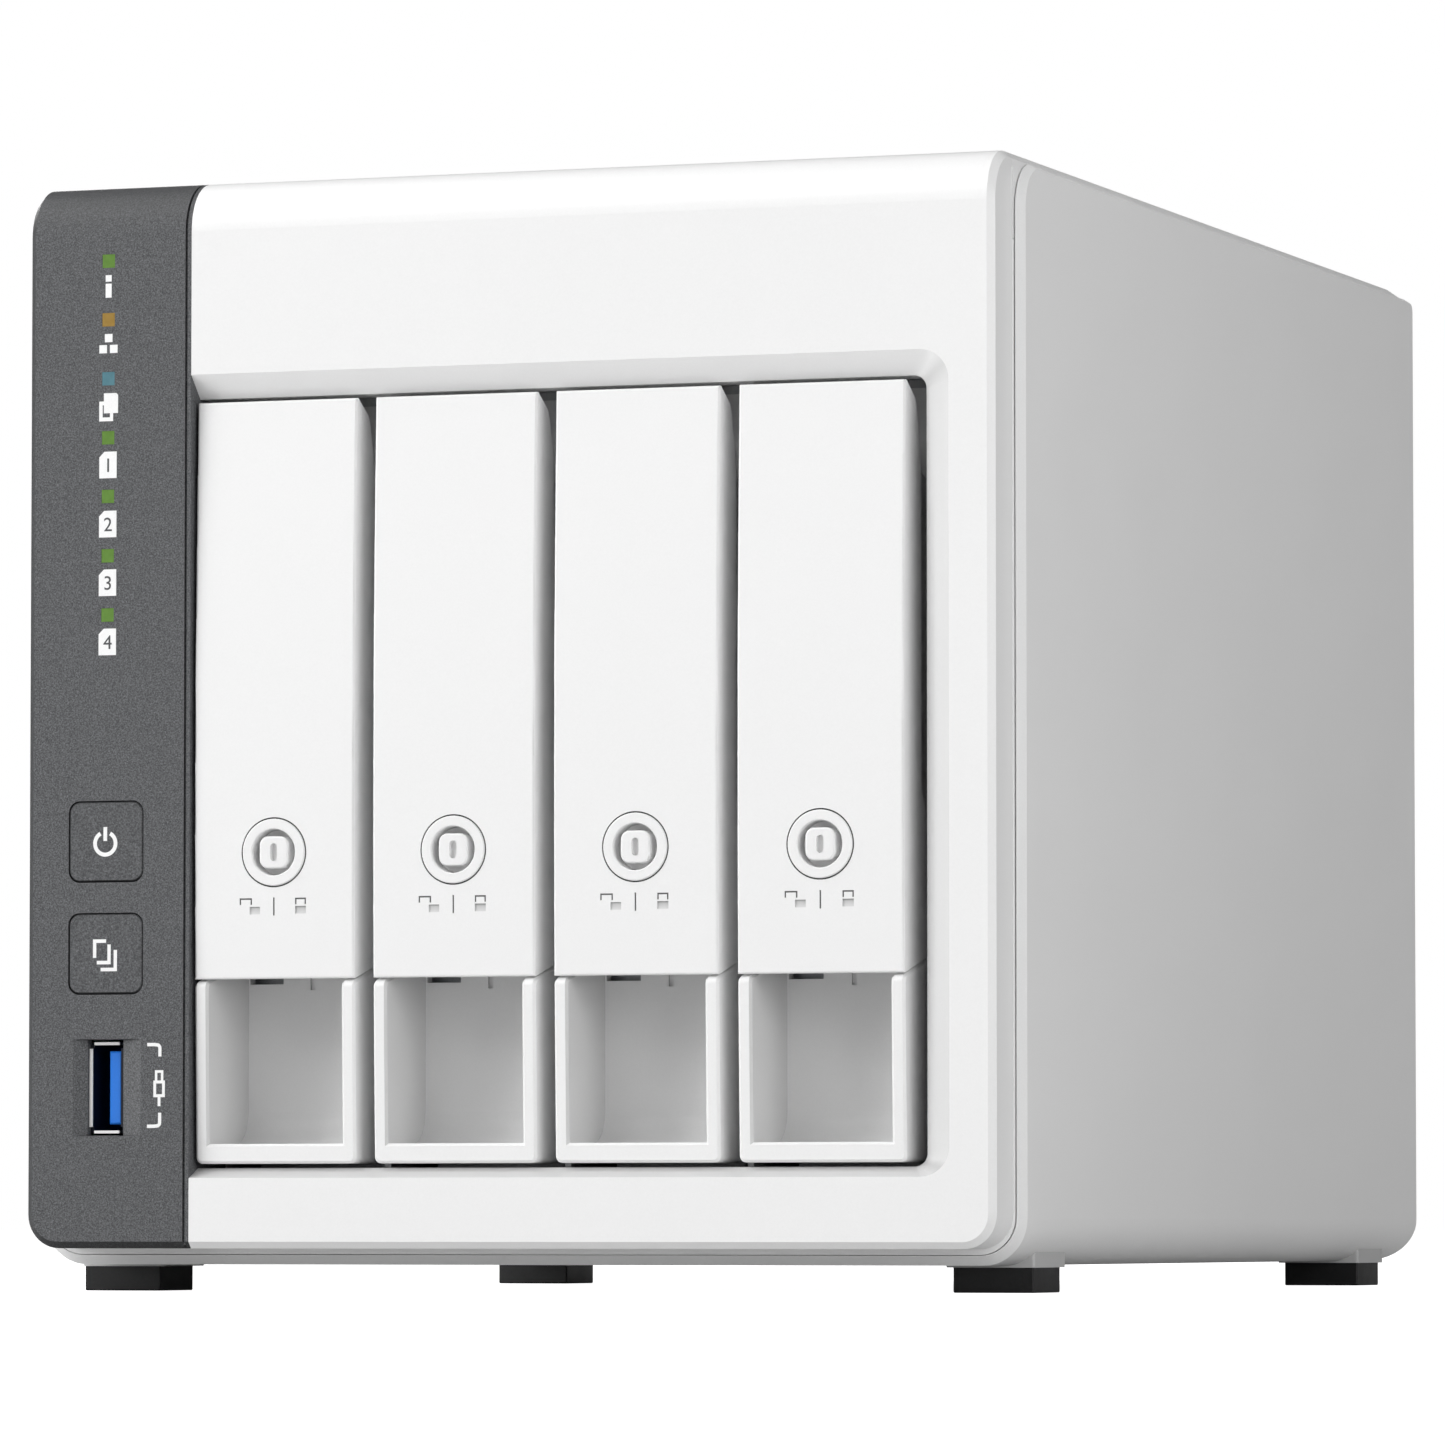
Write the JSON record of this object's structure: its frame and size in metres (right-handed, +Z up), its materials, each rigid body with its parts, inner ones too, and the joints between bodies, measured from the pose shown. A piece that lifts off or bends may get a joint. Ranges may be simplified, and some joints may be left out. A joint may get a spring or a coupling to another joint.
{
  "type": "network attached storage unit",
  "caption": "Upright white network storage box with hinged-handle drive trays, dark control panel with status lights and buttons, and a rear fan.",
  "frame": {"origin": "centre of the bounding box at the underside of the feet", "axes": "+X to the right seen from the front, +Y to the rear, +Z up; the trays slide out along -Y"},
  "size_m": [0.16, 0.226, 0.1707],
  "materials": {
    "white_shell": "fine matte",
    "grey_shell": "satin paint",
    "dark_panel": "fine speckled matte",
    "tray_white": "fine matte",
    "button_dark": "satin",
    "lens_green": "translucent",
    "lens_amber": "translucent",
    "lens_blue": "translucent",
    "rubber_black": "matte",
    "plated_steel": "plated",
    "usb_blue": "smooth",
    "board_green": "solder mask",
    "black_plastic": "moulded",
    "rear_grey": "textured paint",
    "anodised": "anodised",
    "drive_metal": "cast and stamped",
    "lock_white": "smooth"
  },
  "bodies": {
    "chassis": {"front_bezel": "white_shell", "control_panel": "dark_panel", "top_panel": "white_shell", "main_shell": "grey_shell", "foot_pads": "grey_shell", "feet": "rubber_black", "led_windows_green": "lens_green", "led_window_amber": "lens_amber", "led_window_blue": "lens_blue", "usb_front_shell": "plated_steel", "usb_front_tongue": "usb_blue", "front_io_board": "board_green", "front_board_components": "black_plastic", "drive_cage": "plated_steel", "backplane_board": "board_green", "sata_connectors": "black_plastic", "mainboard": "board_green", "board_chips": "black_plastic", "memory_module": "board_green", "heat_sink": "anodised", "board_screws": "plated_steel", "cage_screws": "plated_steel", "lan_ports": "plated_steel", "rear_usb_shells": "plated_steel", "rear_usb_tongues": "usb_blue", "dc_inlet": "black_plastic", "rear_panel": "rear_grey", "rear_screws": "plated_steel", "fan_frame": "black_plastic", "fan_grille": "plated_steel", "fan_screws": "plated_steel"},
    "power_button": {"power_button": "button_dark"},
    "copy_button": {"copy_button": "button_dark"},
    "reset_button": {"reset_button": "black_plastic"},
    "fan_rotor": {"fan_rotor": "black_plastic"},
    "tray_1": {"tray_1": "tray_white", "handle_pin_1": "plated_steel", "drive_1": "drive_metal", "drive_screws_1": "plated_steel"},
    "handle_1": {"tray_handle_1": "tray_white"},
    "lock_1": {"tray_lock_1": "lock_white"},
    "tray_2": {"tray_2": "tray_white", "handle_pin_2": "plated_steel", "drive_2": "drive_metal", "drive_screws_2": "plated_steel"},
    "handle_2": {"tray_handle_2": "tray_white"},
    "lock_2": {"tray_lock_2": "lock_white"},
    "tray_3": {"tray_3": "tray_white", "handle_pin_3": "plated_steel", "drive_3": "drive_metal", "drive_screws_3": "plated_steel"},
    "handle_3": {"tray_handle_3": "tray_white"},
    "lock_3": {"tray_lock_3": "lock_white"},
    "tray_4": {"tray_4": "tray_white", "handle_pin_4": "plated_steel", "drive_4": "drive_metal", "drive_screws_4": "plated_steel"},
    "handle_4": {"tray_handle_4": "tray_white"},
    "lock_4": {"tray_lock_4": "lock_white"}
  },
  "joints": [
    {"name": "power_button_press", "type": "slide", "parent": "chassis", "child": "power_button", "axis": [0, 1, 0], "range_m": [0, 0.001], "stiffness_N_per_m": 600},
    {"name": "copy_button_press", "type": "slide", "parent": "chassis", "child": "copy_button", "axis": [0, 1, 0], "range_m": [0, 0.001], "stiffness_N_per_m": 600},
    {"name": "reset_button_press", "type": "slide", "parent": "chassis", "child": "reset_button", "axis": [0, -1, 0], "range_m": [0, 0.0005], "stiffness_N_per_m": 500},
    {"name": "fan_spin", "type": "hinge", "parent": "chassis", "child": "fan_rotor", "pos_m": [0.007, 0.0969, 0.088], "axis": [0, 1, 0], "continuous": true},
    {"name": "tray_slide_1", "type": "slide", "parent": "chassis", "child": "tray_1", "axis": [0, -1, 0], "range_m": [0, 0.17]},
    {"name": "handle_swing_1", "type": "hinge", "parent": "tray_1", "child": "handle_1", "pos_m": [-0.0375, -0.1078, 0.1205], "axis": [-1, 0, 0], "range_deg": [0, 45]},
    {"name": "lock_turn_1", "type": "hinge", "parent": "handle_1", "child": "lock_1", "pos_m": [-0.0375, -0.109, 0.067], "axis": [0, 1, 0], "range_deg": [0, 90]},
    {"name": "tray_slide_2", "type": "slide", "parent": "chassis", "child": "tray_2", "axis": [0, -1, 0], "range_m": [0, 0.17]},
    {"name": "handle_swing_2", "type": "hinge", "parent": "tray_2", "child": "handle_2", "pos_m": [-0.00804, -0.1078, 0.1205], "axis": [-1, 0, 0], "range_deg": [0, 45]},
    {"name": "lock_turn_2", "type": "hinge", "parent": "handle_2", "child": "lock_2", "pos_m": [-0.00804, -0.109, 0.067], "axis": [0, 1, 0], "range_deg": [0, 90]},
    {"name": "tray_slide_3", "type": "slide", "parent": "chassis", "child": "tray_3", "axis": [0, -1, 0], "range_m": [0, 0.17]},
    {"name": "handle_swing_3", "type": "hinge", "parent": "tray_3", "child": "handle_3", "pos_m": [0.02143, -0.1078, 0.1205], "axis": [-1, 0, 0], "range_deg": [0, 45]},
    {"name": "lock_turn_3", "type": "hinge", "parent": "handle_3", "child": "lock_3", "pos_m": [0.02143, -0.109, 0.067], "axis": [0, 1, 0], "range_deg": [0, 90]},
    {"name": "tray_slide_4", "type": "slide", "parent": "chassis", "child": "tray_4", "axis": [0, -1, 0], "range_m": [0, 0.17]},
    {"name": "handle_swing_4", "type": "hinge", "parent": "tray_4", "child": "handle_4", "pos_m": [0.0509, -0.1078, 0.1205], "axis": [-1, 0, 0], "range_deg": [0, 45]},
    {"name": "lock_turn_4", "type": "hinge", "parent": "handle_4", "child": "lock_4", "pos_m": [0.0509, -0.109, 0.067], "axis": [0, 1, 0], "range_deg": [0, 90]}
  ]
}
